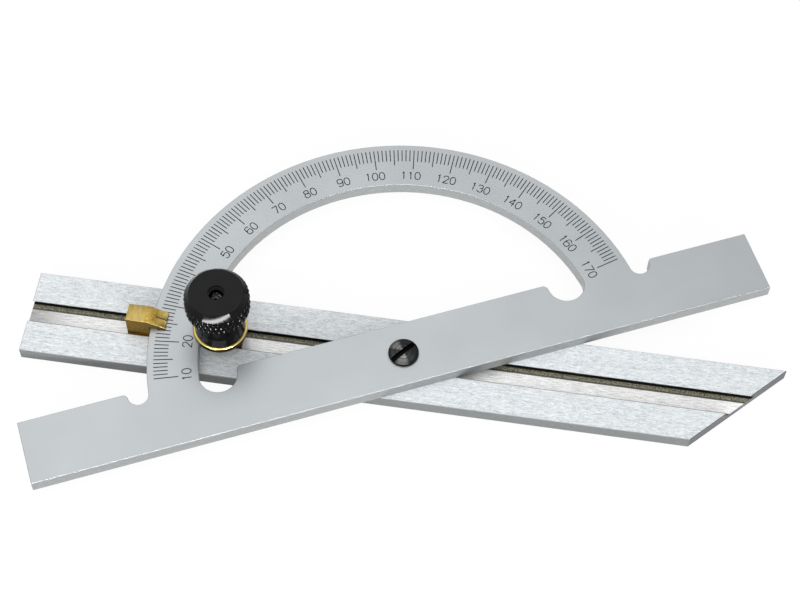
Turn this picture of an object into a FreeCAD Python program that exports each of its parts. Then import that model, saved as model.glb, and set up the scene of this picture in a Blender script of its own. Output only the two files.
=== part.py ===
import FreeCAD, Part
import math
import os

import Sketcher

# Bevel protractor: a semicircular arc on a straight bar, pivoted on a grooved rail.
# Origin on the pivot axis at the rail's underside, +X along the rail towards its mitred end,
# +Y across the rail towards the arc, +Z up. Millimetres and degrees.

SIZES = [
    ("rail_length", 150.0),
    ("rail_width", 18.0),
    ("rail_thickness", 3.0),
    ("mitre_angle", 45.0),
    ("groove_opening", 4.5),
    ("groove_depth", 1.3),
    ("groove_flare", 30.0),
    ("groove_clearance", 0.05),
    ("foot_recess", 0.1),
    ("edge_break", 0.1),
    ("bar_length", 150.0),
    ("bar_width", 13.4),
    ("base_thickness", 2.75),
    ("arc_outer_radius", 50.0),
    ("arc_inner_radius", 40.0),
    ("face_clearance", 0.03),
    ("reading", 25.4),
    ("first_mark_angle", 10.0),
    ("last_mark_angle", 170.0),
    ("clamp_inset", 3.7),
    ("inner_relief_inset", 0.44),
    ("outer_relief_radius", 2.0),
    ("outer_relief_inset", 0.9),
    ("relief_round", 1.0),
    ("mark_margin", 1.3),
    ("mark_width", 0.18),
    ("mark_height", 0.02),
    ("degree_mark_length", 2.8),
    ("five_mark_length", 3.8),
    ("ten_mark_length", 4.75),
    ("nut_length", 9.0),
    ("boss_diameter", 4.0),
    ("pivot_clearance", 0.05),
    ("pivot_screw_diameter", 2.5),
    ("thread_clearance", 0.03),
    ("thread_end_gap", 0.3),
    ("pivot_head_diameter", 6.0),
    ("pivot_head_rim", 0.5),
    ("pivot_head_height", 0.9),
    ("driver_slot_width", 1.0),
    ("driver_slot_depth", 0.5),
    ("driver_slot_angle", 49.4),
    ("pointer_width", 3.7),
    ("pointer_length", 4.65),
    ("pointer_rise", 2.0),
    ("pointer_gap", 0.15),
    ("pointer_reach", 3.0),
    ("bevel_setback", 0.25),
    ("tip_thickness", 0.35),
    ("tip_clearance", 0.12),
    ("index_width", 0.15),
    ("index_depth", 0.12),
    ("index_length", 1.9),
    ("slider_tail", 4.3),
    ("stud_diameter", 3.0),
    ("stud_clearance", 0.05),
    ("stud_recess", 1.5),
    ("washer_diameter", 10.8),
    ("washer_thickness", 1.3),
    ("washer_chamfer", 0.25),
    ("collar_diameter", 10.0),
    ("collar_top_diameter", 9.4),
    ("collar_height", 2.1),
    ("undercut_height", 0.2),
    ("undercut_depth", 0.2),
    ("neck_diameter", 9.8),
    ("neck_height", 3.3),
    ("flare_diameter", 11.4),
    ("flare_height", 1.2),
    ("flare_round", 1.4),
    ("knob_diameter", 12.8),
    ("grip_lower_chamfer", 0.6),
    ("grip_height", 3.5),
    ("knob_top_diameter", 10.6),
    ("top_chamfer_height", 1.5),
    ("knob_hole_chamfer", 0.2),
]

RAIL_TOP = "Sizes.rail_thickness"
GROOVE_FLOOR = "(Sizes.rail_thickness - Sizes.groove_depth)"
FOOT_BOTTOM = "(%s + Sizes.groove_clearance)" % GROOVE_FLOOR
FOOT_TOP = "(Sizes.rail_thickness - Sizes.foot_recess)"
BASE_BOTTOM = "(Sizes.rail_thickness + Sizes.face_clearance)"
BASE_TOP = "(%s + Sizes.base_thickness)" % BASE_BOTTOM
SEAT_TOP = "(%s + Sizes.face_clearance)" % BASE_TOP
WASHER_TOP = "(%s + Sizes.washer_thickness)" % SEAT_TOP
KNOB_BOTTOM = "(%s + Sizes.face_clearance)" % WASHER_TOP
COLLAR_TOP = "(%s + Sizes.collar_height)" % KNOB_BOTTOM
NECK_BOTTOM = "(%s + Sizes.undercut_height)" % COLLAR_TOP
NECK_TOP = "(%s + Sizes.neck_height)" % NECK_BOTTOM
FLARE_TOP = "(%s + Sizes.flare_height)" % NECK_TOP
GRIP_BOTTOM = "(%s + Sizes.grip_lower_chamfer)" % FLARE_TOP
GRIP_TOP = "(%s + Sizes.grip_height)" % GRIP_BOTTOM
KNOB_TOP = "(%s + Sizes.top_chamfer_height)" % GRIP_TOP
STUD_HOLE_RADIUS = "(Sizes.stud_diameter / 2 + Sizes.stud_clearance)"
CLAMP_RADIUS = "(Sizes.arc_inner_radius - Sizes.clamp_inset)"
POINTER_FACE = "(Sizes.arc_outer_radius + Sizes.pointer_gap)"
POINTER_BACK = "(%s + Sizes.pointer_length)" % POINTER_FACE
TIP_REACH = "(Sizes.arc_outer_radius - Sizes.pointer_reach)"
TIP_UNDER = "(%s + Sizes.tip_clearance)" % BASE_TOP
TIP_TOP = "(%s + Sizes.tip_thickness)" % TIP_UNDER
POINTER_TOP = "(%s + Sizes.pointer_rise)" % BASE_TOP
BEVEL_START = "(%s + Sizes.bevel_setback)" % POINTER_FACE
INNER_TANGENT_Y = "(Sizes.bar_width / 2 - Sizes.inner_relief_inset)"
INNER_RELIEF_Y = "(%s * %s / Sizes.arc_inner_radius)" % (INNER_TANGENT_Y, CLAMP_RADIUS)
OUTER_RELIEF_PATH = "(Sizes.arc_outer_radius + Sizes.outer_relief_radius)"
OUTER_RELIEF_Y = "(Sizes.bar_width / 2 - Sizes.outer_relief_inset)"

doc = FreeCAD.newDocument("BevelProtractor")
sheet = doc.addObject("Spreadsheet::Sheet", "Sizes")


def fill_sheet():
    for row, (name, value) in enumerate(SIZES, start=1):
        sheet.set("A%d" % row, name)
        sheet.set("B%d" % row, str(value))
        sheet.setAlias("B%d" % row, name)
    doc.recompute()


def size(name):
    return float(getattr(sheet, name))


def new_body(label):
    body = doc.addObject("PartDesign::Body", label)
    body.Label = label
    return body


def origin_plane(body, role):
    return next(item for item in body.Origin.OriginFeatures if item.Role == role)


def new_sketch(body, name, role):
    sketch = body.newObject("Sketcher::SketchObject", name)
    sketch.AttachmentSupport = [(origin_plane(body, role), "")]
    sketch.MapMode = "FlatFace"
    return sketch


def hold(sketch, kind, geometry, point, expression):
    """Hold one coordinate of a point at a signed distance from the sketch's origin."""
    if expression == "0":
        axis = -2 if kind == "DistanceX" else -1
        sketch.addConstraint(Sketcher.Constraint("PointOnObject", geometry, point, axis))
        return
    index = sketch.addConstraint(Sketcher.Constraint(kind, -1, 1, geometry, point, 1.0))
    sketch.setExpression("Constraints[%d]" % index, expression)


def polygon(body, name, role, corners):
    """A closed outline whose corners are pairs of expressions."""
    sketch = new_sketch(body, name, role)
    count = len(corners)
    turn = 2 * math.pi / count
    guess = [FreeCAD.Vector(math.cos(i * turn), math.sin(i * turn), 0) for i in range(count)]
    for i in range(count):
        sketch.addGeometry(Part.LineSegment(guess[i], guess[(i + 1) % count]), False)
    for i in range(count):
        sketch.addConstraint(Sketcher.Constraint("Coincident", i, 2, (i + 1) % count, 1))
    for i, (across, up) in enumerate(corners):
        hold(sketch, "DistanceX", i, 1, across)
        hold(sketch, "DistanceY", i, 1, up)
    return sketch


def circles(body, name, role, rounds):
    """Circles given as expressions: centre across, centre up, radius."""
    sketch = new_sketch(body, name, role)
    for i, (across, up, radius) in enumerate(rounds):
        centre = FreeCAD.Vector(3.0 * i, 0, 0)
        sketch.addGeometry(Part.Circle(centre, FreeCAD.Vector(0, 0, 1), 1.0 + i), False)
        hold(sketch, "DistanceX", i, 3, across)
        hold(sketch, "DistanceY", i, 3, up)
        index = sketch.addConstraint(Sketcher.Constraint("Radius", i, 1.0 + i))
        sketch.setExpression("Constraints[%d]" % index, radius)
    return sketch


def pad(body, name, sketch, length, midplane=False):
    feature = body.newObject("PartDesign::Pad", name)
    feature.Profile = sketch
    feature.setExpression("Length", length)
    feature.Midplane = midplane
    doc.recompute()
    return feature


def pocket(body, name, sketch, reversed_cut=False, length=None, midplane=False):
    """Cut the sketch out of the body and make sure that it cut something."""
    before = body.Shape.Volume
    feature = body.newObject("PartDesign::Pocket", name)
    feature.Profile = sketch
    feature.Reversed = reversed_cut
    feature.Midplane = midplane
    if length is None:
        feature.Type = "ThroughAll"
    else:
        feature.setExpression("Length", length)
    doc.recompute()
    if not body.Shape.Volume < before - 1e-6:
        raise RuntimeError("%s cuts nothing" % name)
    return feature


def revolve(body, name, sketch, angle=360.0):
    feature = body.newObject("PartDesign::Revolution", name)
    feature.Profile = sketch
    feature.ReferenceAxis = (sketch, ["V_Axis"])
    feature.Angle = angle
    doc.recompute()
    return feature


def edge_names(shape, wanted):
    return ["Edge%d" % (i + 1) for i, edge in enumerate(shape.Edges) if wanted(edge)]


def dress(body, kind, name, edges, amount):
    """Fillet or chamfer some edges of the body's last feature."""
    base = body.Tip
    feature = body.newObject("PartDesign::" + kind, name)
    feature.Base = (base, edges)
    feature.setExpression("Radius" if kind == "Fillet" else "Size", amount)
    doc.recompute()
    return feature


def flat_at(edge, height):
    box = edge.BoundBox
    return abs(box.ZMin - height) < 1e-4 and abs(box.ZMax - height) < 1e-4


def make_rail():
    """A flat bar, mitred at one end, with a dovetail groove along its whole length."""
    body = new_body("rail")
    half_length = "Sizes.rail_length / 2"
    half_width = "Sizes.rail_width / 2"
    mitre_foot = "%s - Sizes.rail_width / tan(Sizes.mitre_angle * 1 deg)" % half_length
    outline = polygon(body, "RailOutline", "XY_Plane", [
        ("-" + half_length, "-" + half_width),
        (mitre_foot, "-" + half_width),
        (half_length, half_width),
        ("-" + half_length, half_width),
    ])
    pad(body, "RailPad", outline, RAIL_TOP)
    lip = "Sizes.groove_opening / 2"
    floor = "(%s + Sizes.groove_depth * tan(Sizes.groove_flare * 1 deg))" % lip
    section = polygon(body, "GrooveSection", "YZ_Plane", [
        ("-" + floor, GROOVE_FLOOR),
        (floor, GROOVE_FLOOR),
        (lip, RAIL_TOP),
        ("-" + lip, RAIL_TOP),
    ])
    pocket(body, "Groove", section, length="3 * Sizes.rail_length", midplane=True)
    top = size("rail_thickness")
    edges = edge_names(body.Shape, lambda edge: flat_at(edge, top))
    dress(body, "Chamfer", "RailEdges", edges, "Sizes.edge_break")
    return body


def make_base():
    """The bar and the graduated arc in one plate, with reliefs in the corners between them."""
    body = new_body("base_plate")
    half_length = "Sizes.bar_length / 2"
    half_width = "Sizes.bar_width / 2"
    bar = polygon(body, "BarOutline", "XY_Plane", [
        ("-" + half_length, "-" + half_width),
        (half_length, "-" + half_width),
        (half_length, half_width),
        ("-" + half_length, half_width),
    ])
    pad(body, "BarPad", bar, "Sizes.base_thickness")
    cut_reliefs(body)
    arc_section = polygon(body, "ArcSection", "XZ_Plane", [
        ("Sizes.arc_inner_radius", "0"),
        ("Sizes.arc_outer_radius", "0"),
        ("Sizes.arc_outer_radius", "Sizes.base_thickness"),
        ("Sizes.arc_inner_radius", "Sizes.base_thickness"),
    ])
    revolve(body, "HalfArc", arc_section, 180.0)
    bore = circles(body, "PivotBoreCircle", "XY_Plane", [
        ("0", "0", "Sizes.boss_diameter / 2 + Sizes.pivot_clearance"),
    ])
    pocket(body, "PivotBore", bore, reversed_cut=True)
    round_relief_corners(body)
    break_base_edges(body)
    seat_on_rail(body)
    return body


def cut_reliefs(body):
    """Cut the reliefs in the bar, inside and outside each end of the arc.

    Each is a cutter's round end, tangent to the arc's edge, run out of the bar along the arc.
    The inner ones lie on the clamp stud's path.
    """
    cutters = [
        (CLAMP_RADIUS, INNER_RELIEF_Y, "Sizes.clamp_inset", "-1"),
        (OUTER_RELIEF_PATH, OUTER_RELIEF_Y, "Sizes.outer_relief_radius", "1"),
    ]
    rounds = []
    runs = []
    for path, height, radius, away in cutters:
        sine = "(%s / %s)" % (height, path)
        cosine = "sqrt(1 - %s ^ 2)" % sine
        free_side = "(%s * %s)" % (away, radius)
        arc_side = "(-2 * %s)" % free_side
        travel = "(2 * %s)" % radius
        outline = ((free_side, "0"), (arc_side, "0"), (arc_side, travel), (free_side, travel))
        for side in ("-1", "1"):
            rounds.append(("%s * %s * %s" % (side, path, cosine), height, radius))
            corners = []
            for out, along in outline:
                x = "%s * ((%s + %s) * %s - %s * %s)" % (side, path, out, cosine, along, sine)
                y = "(%s + %s) * %s + %s * %s" % (path, out, sine, along, cosine)
                corners.append((x, y))
            runs.append(corners)
    pocket(body, "ReliefEnds", circles(body, "ReliefCircles", "XY_Plane", rounds), reversed_cut=True)
    for i, corners in enumerate(runs):
        run = polygon(body, "ReliefRunOutline%d" % i, "XY_Plane", corners)
        pocket(body, "ReliefRun%d" % i, run, reversed_cut=True)


def round_relief_corners(body):
    """Round the four upright corners where the reliefs break out of the bar's edge."""
    edge_y = size("bar_width") / 2
    arc_inner = size("arc_inner_radius")
    arc_outer = size("arc_outer_radius")

    def corner(edge):
        box = edge.BoundBox
        upright = box.ZLength > size("base_thickness") / 2 and box.XLength < 1e-4
        on_edge = abs(box.YMin - edge_y) < 1e-4 and box.YLength < 1e-4
        reach = math.hypot(box.XMin, box.YMin)
        ends = abs(abs(box.XMin) - size("bar_length") / 2) < 1e-3
        off_arc = reach < arc_inner - 1e-3 or reach > arc_outer + 1e-3
        return upright and on_edge and off_arc and not ends

    dress(body, "Fillet", "ReliefRounds", edge_names(body.Shape, corner), "Sizes.relief_round")


def break_base_edges(body):
    """Break every top edge but the pivot bore's."""
    top = size("base_thickness")
    bore = size("boss_diameter")

    def outline(edge):
        box = edge.BoundBox
        near_pivot = max(abs(box.XMin), abs(box.XMax), abs(box.YMin), abs(box.YMax)) < bore
        return flat_at(edge, top) and not near_pivot

    dress(body, "Chamfer", "BaseEdges", edge_names(body.Shape, outline), "Sizes.edge_break")


def seat_on_rail(item):
    """Stand a piece of the base on the rail, turned about the pivot to the reading."""
    item.Placement = FreeCAD.Placement(
        FreeCAD.Vector(0, 0, 0), FreeCAD.Rotation(FreeCAD.Vector(0, 0, 1), size("reading"))
    )
    item.setExpression("Placement.Base.z", BASE_BOTTOM)
    item.setExpression("Placement.Rotation.Angle", "Sizes.reading")


def make_marks(label, base, length_name, wanted):
    """One set of filled graduation lines, laid on the arc's face as radial strips."""
    width = size("mark_width")
    height = size("mark_height")
    outer = size("arc_outer_radius") - size("mark_margin")
    length = size(length_name)
    strips = []
    first = int(round(size("first_mark_angle")))
    last = int(round(size("last_mark_angle")))
    for reading in range(first, last + 1):
        if not wanted(reading):
            continue
        strip = Part.makeBox(length, width, height, FreeCAD.Vector(outer - length, -width / 2, 0))
        strip.rotate(FreeCAD.Vector(0, 0, 0), FreeCAD.Vector(0, 0, 1), 180 - reading)
        strips.append(strip)
    item = doc.addObject("Part::Feature", label)
    item.Label = label
    item.Shape = Part.makeCompound(strips)
    lift = FreeCAD.Vector(0, 0, size("base_thickness"))
    item.Placement = base.Placement.multiply(FreeCAD.Placement(lift, FreeCAD.Rotation()))
    return item


def foot_half_width(height):
    """Half the width of a dovetail foot at a height, inside the groove's flanks."""
    lean = "(Sizes.rail_thickness - %s) * tan(Sizes.groove_flare * 1 deg)" % height
    inset = "Sizes.groove_clearance / cos(Sizes.groove_flare * 1 deg)"
    return "(Sizes.groove_opening / 2 + %s - %s)" % (lean, inset)


def dovetail_section(body, name):
    low = foot_half_width(FOOT_BOTTOM)
    high = foot_half_width(FOOT_TOP)
    return polygon(body, name, "YZ_Plane", [
        ("-" + low, FOOT_BOTTOM),
        (low, FOOT_BOTTOM),
        (high, FOOT_TOP),
        ("-" + high, FOOT_TOP),
    ])


def make_pivot_nut():
    """A dovetail foot in the groove, with the round boss that the base turns on."""
    body = new_body("pivot_nut")
    foot = dovetail_section(body, "NutSection")
    pad(body, "NutFoot", foot, "Sizes.nut_length", midplane=True)
    boss = circles(body, "BossCircle", "XY_Plane", [("0", "0", "Sizes.boss_diameter / 2")])
    boss.setExpression("AttachmentOffset.Base.z", FOOT_BOTTOM)
    pad(body, "Boss", boss, "%s - %s" % (SEAT_TOP, FOOT_BOTTOM))
    hole = circles(body, "NutThreadCircle", "XY_Plane", [
        ("0", "0", "Sizes.pivot_screw_diameter / 2 + Sizes.thread_clearance"),
    ])
    pocket(body, "NutThread", hole, reversed_cut=True)
    return body


def make_pivot_screw():
    """A slotted screw with a low domed head, seated on the boss."""
    body = new_body("pivot_screw")
    shank = "Sizes.pivot_screw_diameter / 2"
    head = "Sizes.pivot_head_diameter / 2"
    end = "(%s + Sizes.thread_end_gap)" % FOOT_BOTTOM
    rim = "(%s + Sizes.pivot_head_rim)" % SEAT_TOP
    crown = "(%s + Sizes.pivot_head_height)" % SEAT_TOP
    shoulder = "(Sizes.pivot_head_diameter / 2 - Sizes.pivot_head_rim)"
    profile = polygon(body, "ScrewProfile", "XZ_Plane", [
        ("0", end),
        (shank, end),
        (shank, SEAT_TOP),
        (head, SEAT_TOP),
        (head, rim),
        (shoulder, "(%s + (Sizes.pivot_head_height - Sizes.pivot_head_rim) * 0.6)" % rim),
        (shank, crown),
        ("0", crown),
    ])
    revolve(body, "ScrewTurned", profile)
    slot_floor = "(%s - Sizes.driver_slot_depth)" % crown
    slot = polygon(body, "DriverSlotOutline", "XZ_Plane", [
        ("-Sizes.driver_slot_width / 2", slot_floor),
        ("Sizes.driver_slot_width / 2", slot_floor),
        ("Sizes.driver_slot_width / 2", "(%s + Sizes.driver_slot_depth)" % crown),
        ("-Sizes.driver_slot_width / 2", "(%s + Sizes.driver_slot_depth)" % crown),
    ])
    pocket(body, "DriverSlot", slot, length="2 * Sizes.pivot_head_diameter", midplane=True)
    body.Placement = FreeCAD.Placement(
        FreeCAD.Vector(0, 0, 0), FreeCAD.Rotation(FreeCAD.Vector(0, 0, 1), 1.0)
    )
    body.setExpression("Placement.Rotation.Angle", "Sizes.driver_slot_angle - 90")
    return body


def make_slider():
    """The dovetail foot under the arc, with the pointer block and its bevelled reading lip."""
    body = new_body("slider_pointer")
    section = dovetail_section(body, "SliderSection")
    section.setExpression("AttachmentOffset.Base.z", "-" + POINTER_BACK)
    tail = "(%s - Sizes.slider_tail)" % CLAMP_RADIUS
    pad(body, "SliderFoot", section, "%s - %s" % (POINTER_BACK, tail))
    profile = polygon(body, "PointerProfile", "XZ_Plane", [
        ("-" + POINTER_BACK, FOOT_BOTTOM),
        ("-" + POINTER_FACE, FOOT_BOTTOM),
        ("-" + POINTER_FACE, TIP_UNDER),
        ("-" + TIP_REACH, TIP_UNDER),
        ("-" + TIP_REACH, TIP_TOP),
        ("-" + BEVEL_START, POINTER_TOP),
        ("-" + POINTER_BACK, POINTER_TOP),
    ])
    pad(body, "PointerBlock", profile, "Sizes.pointer_width", midplane=True)
    run = "(%s - %s)" % (BEVEL_START, TIP_REACH)
    slope = "((%s - %s) / %s)" % (POINTER_TOP, TIP_TOP, run)
    line_end = "(%s + Sizes.index_length)" % TIP_REACH
    line_height = "(%s + Sizes.index_length * %s)" % (TIP_TOP, slope)
    index = polygon(body, "IndexProfile", "XZ_Plane", [
        ("-" + line_end, "%s - Sizes.index_depth" % line_height),
        ("-" + TIP_REACH, "%s - Sizes.index_depth" % TIP_TOP),
        ("-" + TIP_REACH, "%s + Sizes.index_depth" % TIP_TOP),
        ("-" + line_end, "%s + Sizes.index_depth" % line_height),
    ])
    pocket(body, "IndexLine", index, length="Sizes.index_width", midplane=True)
    hole = circles(body, "StudHoleCircle", "XY_Plane", [
        ("-" + CLAMP_RADIUS, "0", "Sizes.stud_diameter / 2 + Sizes.thread_clearance"),
    ])
    pocket(body, "StudHole", hole, reversed_cut=True)
    return body


def on_clamp_axis(item):
    item.setExpression("Placement.Base.x", "-" + CLAMP_RADIUS)


def make_stud():
    """The threaded stud that stands in the slider's foot and carries washer and knob."""
    stud = doc.addObject("Part::Cylinder", "clamp_stud")
    stud.Label = "clamp_stud"
    stud.setExpression("Radius", "Sizes.stud_diameter / 2")
    stud.setExpression("Height", "%s - Sizes.stud_recess - %s" % (KNOB_TOP, FOOT_BOTTOM))
    stud.setExpression("Placement.Base.z", FOOT_BOTTOM)
    on_clamp_axis(stud)
    return stud


def make_washer():
    """The washer whose rim grips the arc's inner margin, under the knob."""
    body = new_body("clamp_washer")
    rim = "Sizes.washer_diameter / 2"
    profile = polygon(body, "WasherProfile", "XZ_Plane", [
        (STUD_HOLE_RADIUS, SEAT_TOP),
        (rim, SEAT_TOP),
        (rim, "%s - Sizes.washer_chamfer" % WASHER_TOP),
        (rim + " - Sizes.washer_chamfer", WASHER_TOP),
        (STUD_HOLE_RADIUS, WASHER_TOP),
    ])
    revolve(body, "WasherTurned", profile)
    on_clamp_axis(body)
    return body


def make_knob():
    """The clamp knob: collar, neck, flared underside and a chamfered grip."""
    body = new_body("clamp_knob")
    neck = "Sizes.neck_diameter / 2"
    collar_top = "Sizes.collar_top_diameter / 2"
    undercut = collar_top + " - Sizes.undercut_depth"
    profile = polygon(body, "KnobProfile", "XZ_Plane", [
        (STUD_HOLE_RADIUS, KNOB_BOTTOM),
        ("Sizes.collar_diameter / 2", KNOB_BOTTOM),
        (collar_top, COLLAR_TOP),
        (undercut, COLLAR_TOP),
        (undercut, NECK_BOTTOM),
        (neck, NECK_BOTTOM),
        (neck, NECK_TOP),
        ("Sizes.flare_diameter / 2", FLARE_TOP),
        ("Sizes.knob_diameter / 2", GRIP_BOTTOM),
        ("Sizes.knob_diameter / 2", GRIP_TOP),
        ("Sizes.knob_top_diameter / 2", KNOB_TOP),
        (STUD_HOLE_RADIUS + " + Sizes.knob_hole_chamfer", KNOB_TOP),
        (STUD_HOLE_RADIUS, "%s - Sizes.knob_hole_chamfer" % KNOB_TOP),
    ])
    revolve(body, "KnobTurned", profile)
    neck_radius = size("neck_diameter") / 2
    circle_z = sorted({
        round(edge.BoundBox.ZMin, 6) for edge in body.Shape.Edges
        if edge.BoundBox.ZLength < 1e-6 and abs(edge.BoundBox.XMax - neck_radius) < 1e-6
    })

    def cove(edge):
        box = edge.BoundBox
        return flat_at(edge, circle_z[-1]) and abs(box.XMax - neck_radius) < 1e-6

    dress(body, "Fillet", "NeckCove", edge_names(body.Shape, cove), "Sizes.flare_round")
    on_clamp_axis(body)
    return body


def check(items):
    doc.recompute()
    for item in doc.Objects:
        if "Invalid" in item.State or "Error" in item.State:
            raise RuntimeError("%s failed: %s" % (item.Label, item.State))
    for item in items:
        if item.Shape.isNull() or not item.Shape.isValid():
            raise RuntimeError("%s has no valid shape" % item.Label)


def main():
    fill_sheet()
    rail = make_rail()
    base = make_base()
    doc.recompute()
    items = [
        rail,
        base,
        make_marks("marks_degree", base, "degree_mark_length", lambda reading: reading % 5),
        make_marks("marks_five", base, "five_mark_length", lambda reading: reading % 10 == 5),
        make_marks("marks_ten", base, "ten_mark_length", lambda reading: reading % 10 == 0),
        make_pivot_nut(),
        make_pivot_screw(),
        make_slider(),
        make_stud(),
        make_washer(),
        make_knob(),
    ]
    check(items)
    os.makedirs("parts", exist_ok=True)
    for item in items:
        item.Shape.exportStep("parts/%s.step" % item.Label)
        print(item.Label, round(item.Shape.Volume, 4), item.Shape.BoundBox)


main()
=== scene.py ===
import math

import bmesh
import bpy
from mathutils import Matrix, Vector


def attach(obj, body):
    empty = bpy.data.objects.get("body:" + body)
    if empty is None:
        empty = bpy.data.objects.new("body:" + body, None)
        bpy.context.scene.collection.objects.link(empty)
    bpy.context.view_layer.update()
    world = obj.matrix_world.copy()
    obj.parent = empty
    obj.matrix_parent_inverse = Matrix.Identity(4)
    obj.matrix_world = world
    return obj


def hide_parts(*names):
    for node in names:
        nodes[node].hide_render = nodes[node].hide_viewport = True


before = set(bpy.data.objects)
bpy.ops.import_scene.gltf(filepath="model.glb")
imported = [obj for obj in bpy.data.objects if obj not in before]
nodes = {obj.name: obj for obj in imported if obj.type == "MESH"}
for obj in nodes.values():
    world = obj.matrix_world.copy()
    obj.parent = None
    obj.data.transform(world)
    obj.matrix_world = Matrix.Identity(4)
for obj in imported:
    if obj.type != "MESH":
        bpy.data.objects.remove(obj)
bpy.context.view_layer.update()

# Lengths are in millimetres and are turned to metres as they are used, except in the studio,
# which is laid out in metres. Texture scales are waves per metre.
MM = 0.001

# Levels and sizes that the pieces share with the solids they stand for.
READING = 25.4
RAIL_END, GROOVE_FLOOR, RAIL_TOP, PLATE_TOP = -75.0, 1.7, 3.0, 5.78
CLAMP_X = -36.3
WASHER_BOTTOM, WASHER_TOP, WASHER_RADIUS = 5.81, 7.11, 5.4
KNOB_BOTTOM, KNOB_TOP, KNOB_RADIUS = 7.14, 19.54, 6.4
BORE_RADIUS = 1.55
STUD_BOTTOM, STUD_TOP, STUD_RADIUS = 1.75, 18.04, 1.5
THREAD_PITCH, THREAD_DEPTH = 0.5, 0.25
SCREW_BOTTOM, SCREW_SEAT, SCREW_CROWN = 2.05, 5.81, 6.71
SLOT_WIDTH, SLOT_DEPTH, SLOT_ANGLE = 1.0, 0.5, 49.4


# Modelling

def deselect():
    """Leave edit mode and select nothing, so that an operator acts only on what comes next."""
    if bpy.context.mode != "OBJECT":
        bpy.ops.object.mode_set(mode="OBJECT")
    bpy.ops.object.select_all(action="DESELECT")


def take(obj):
    deselect()
    obj.select_set(True)
    bpy.context.view_layer.objects.active = obj


def settle(obj, name):
    """Put the object's place into its mesh, so that its own origin is the model's."""
    take(obj)
    bpy.ops.object.transform_apply(location=True, rotation=True, scale=True)
    obj.name = name
    obj.data.name = name
    return obj


def modify(obj, kind, **settings):
    """Add one modifier with its settings and apply it."""
    take(obj)
    modifier = obj.modifiers.new(kind.title(), kind)
    for key, value in settings.items():
        setattr(modifier, key, value)
    bpy.ops.object.modifier_apply(modifier=modifier.name)


def tidy_mesh(obj, distance=0.0005):
    """Merge doubled points and turn the faces outwards."""
    take(obj)
    bpy.ops.object.mode_set(mode="EDIT")
    bpy.ops.mesh.select_all(action="SELECT")
    bpy.ops.mesh.remove_doubles(threshold=distance * MM)
    bpy.ops.mesh.normals_make_consistent(inside=False)
    bpy.ops.object.mode_set(mode="OBJECT")


def smooth(obj, degrees):
    take(obj)
    bpy.ops.object.shade_smooth_by_angle(angle=math.radians(degrees))


def pick(obj, kind, test):
    """In edit mode, select only the edges or faces that pass the test."""
    bpy.ops.mesh.select_mode(type={"edges": "EDGE", "faces": "FACE"}[kind])
    bpy.ops.mesh.select_all(action="DESELECT")
    mesh = bmesh.from_edit_mesh(obj.data)
    mesh.verts.index_update()
    for item in getattr(mesh, kind):
        if test(item):
            item.select_set(True)
    mesh.select_flush_mode()
    bmesh.update_edit_mesh(obj.data)


def turned(name, across, profile, steps, closed=False):
    """A lathe shape: a ring is extruded up its profile of radius and height, scaled each time.

    A profile that isn't closed starts with a face across its first ring.
    """
    deselect()
    radius, height = profile[0]
    bpy.ops.mesh.primitive_circle_add(
        vertices=steps, radius=radius * MM, fill_type="NOTHING",
        location=(across * MM, 0, height * MM),
    )
    obj = bpy.context.object
    bpy.ops.object.mode_set(mode="EDIT")
    bpy.ops.mesh.select_all(action="SELECT")
    if not closed:
        bpy.ops.mesh.edge_face_add()
    for next_radius, next_height in profile[1:]:
        rise = (next_height - height) * MM
        bpy.ops.mesh.extrude_region_move(TRANSFORM_OT_translate={"value": (0, 0, rise)})
        ratio = next_radius / radius
        bpy.ops.transform.resize(
            value=(ratio, ratio, 1), center_override=(across * MM, 0, next_height * MM)
        )
        radius, height = next_radius, next_height
    bpy.ops.object.mode_set(mode="OBJECT")
    settle(obj, name)
    tidy_mesh(obj)
    return obj


def thread(name, across, middle, bottom, top):
    """A closed helical ridge with a pointed section, centred on the wall it is cut in."""
    squash = 0.8
    deselect()
    bpy.ops.mesh.primitive_circle_add(
        vertices=4, radius=THREAD_DEPTH * MM, rotation=(math.pi / 2, 0, 0),
        location=(0, 0, 0),
    )
    obj = bpy.context.object
    settle(obj, name)
    bpy.ops.object.mode_set(mode="EDIT")
    bpy.ops.mesh.select_all(action="SELECT")
    bpy.ops.transform.resize(value=(1, 1, squash), center_override=(0, 0, 0))
    bpy.ops.transform.translate(value=(middle * MM, 0, bottom * MM))
    bpy.ops.object.mode_set(mode="OBJECT")
    modify(
        obj, "SCREW", angle=2 * math.pi, screw_offset=THREAD_PITCH * MM,
        iterations=int((top - bottom) / THREAD_PITCH), steps=32, render_steps=32,
        use_merge_vertices=False, use_smooth_shade=False,
    )
    bpy.ops.object.mode_set(mode="EDIT")
    bpy.ops.mesh.select_all(action="SELECT")
    bpy.ops.mesh.fill_holes(sides=0)
    bpy.ops.transform.translate(value=(across * MM, 0, 0))
    bpy.ops.object.mode_set(mode="OBJECT")
    tidy_mesh(obj)
    return obj


def join(obj, *others):
    take(obj)
    for other in others:
        other.select_set(True)
    bpy.ops.object.join()
    return obj


def cut(obj, tool, operation):
    """Boolean the tool into the object and remove the tool."""
    modify(obj, "BOOLEAN", operation=operation, object=tool, solver="EXACT")
    bpy.data.objects.remove(tool)


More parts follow.
